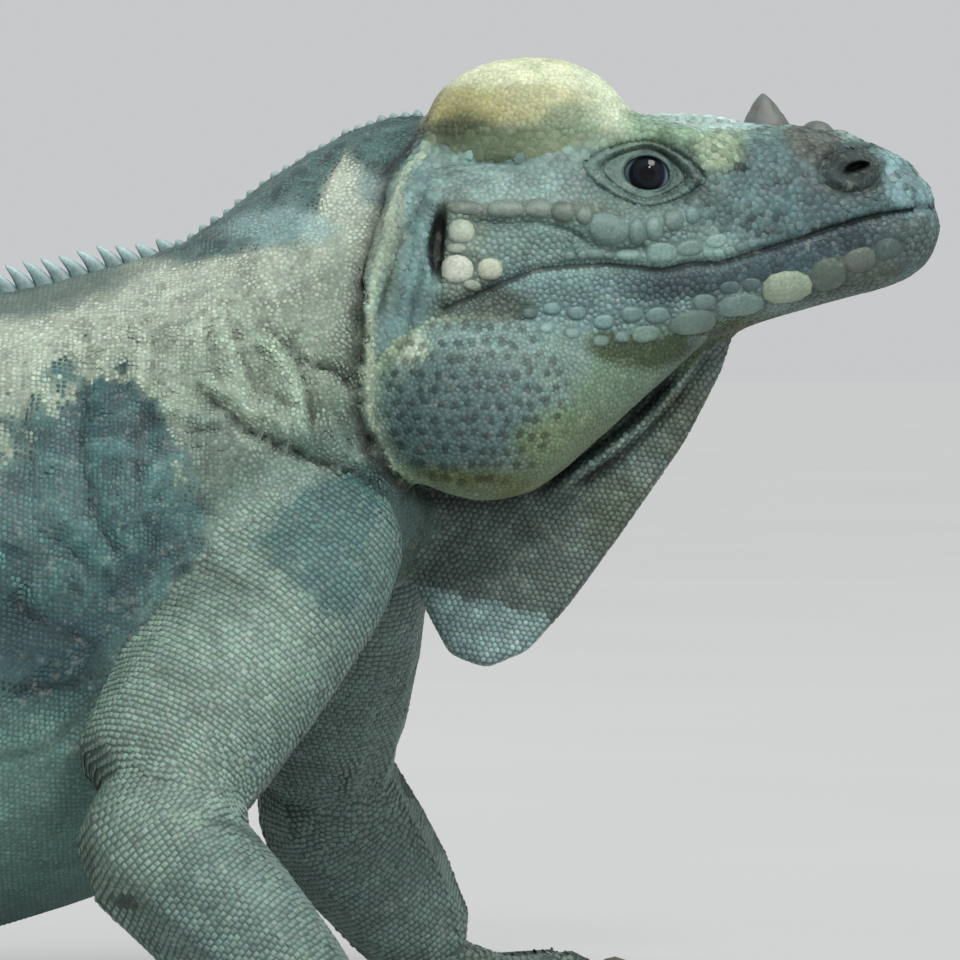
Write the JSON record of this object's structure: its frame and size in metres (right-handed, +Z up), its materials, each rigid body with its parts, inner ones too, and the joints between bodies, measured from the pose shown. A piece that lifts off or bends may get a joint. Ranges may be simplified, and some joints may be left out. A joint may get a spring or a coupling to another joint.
{
  "type": "rhinoceros iguana",
  "caption": "Life-size still model of an adult male rhinoceros iguana, head raised, with casque, jowls and dewlap, resting on hands, feet, belly and tail.",
  "frame": {"origin": "on the floor, under the middle of the animal's overall length and width", "axes": "+X points forward out of the snout, +Y to the animal's left, +Z up"},
  "size_m": [1.157, 0.3796, 0.1972],
  "materials": {
    "skin": "scaly, dull, grey-green to blue-grey with ochre and pale patches",
    "casque": "finely scaled, satin, cream and ochre",
    "horn": "satin keratin, grey to brown",
    "claw": "satin keratin, dark brown with paler roots",
    "eye": "wet and glossy, dark iris"
  },
  "bodies": {
    "root": {"head": "skin", "lower_jaw": "skin", "neck": "skin", "chest": "skin", "belly": "skin", "hips": "skin", "tail_1": "skin", "tail_2": "skin", "tail_3": "skin", "tail_4": "skin", "dewlap": "skin", "horn_rear": "horn", "horn_front": "horn", "eye_left": "eye", "ear_left": "skin", "casque_left": "casque", "jowl_left": "skin", "upper_arm_left": "skin", "forearm_left": "skin", "hand_left": "skin", "thigh_left": "skin", "shank_left": "skin", "foot_left": "skin", "claw_front_left_1": "claw", "claw_front_left_2": "claw", "claw_front_left_3": "claw", "claw_front_left_4": "claw", "claw_front_left_5": "claw", "claw_hind_left_1": "claw", "claw_hind_left_2": "claw", "claw_hind_left_3": "claw", "claw_hind_left_4": "claw", "claw_hind_left_5": "claw", "eye_right": "eye", "ear_right": "skin", "casque_right": "casque", "jowl_right": "skin", "upper_arm_right": "skin", "forearm_right": "skin", "hand_right": "skin", "thigh_right": "skin", "shank_right": "skin", "foot_right": "skin", "claw_front_right_1": "claw", "claw_front_right_2": "claw", "claw_front_right_3": "claw", "claw_front_right_4": "claw", "claw_front_right_5": "claw", "claw_hind_right_1": "claw", "claw_hind_right_2": "claw", "claw_hind_right_3": "claw", "claw_hind_right_4": "claw", "claw_hind_right_5": "claw"}
  },
  "joints": []
}
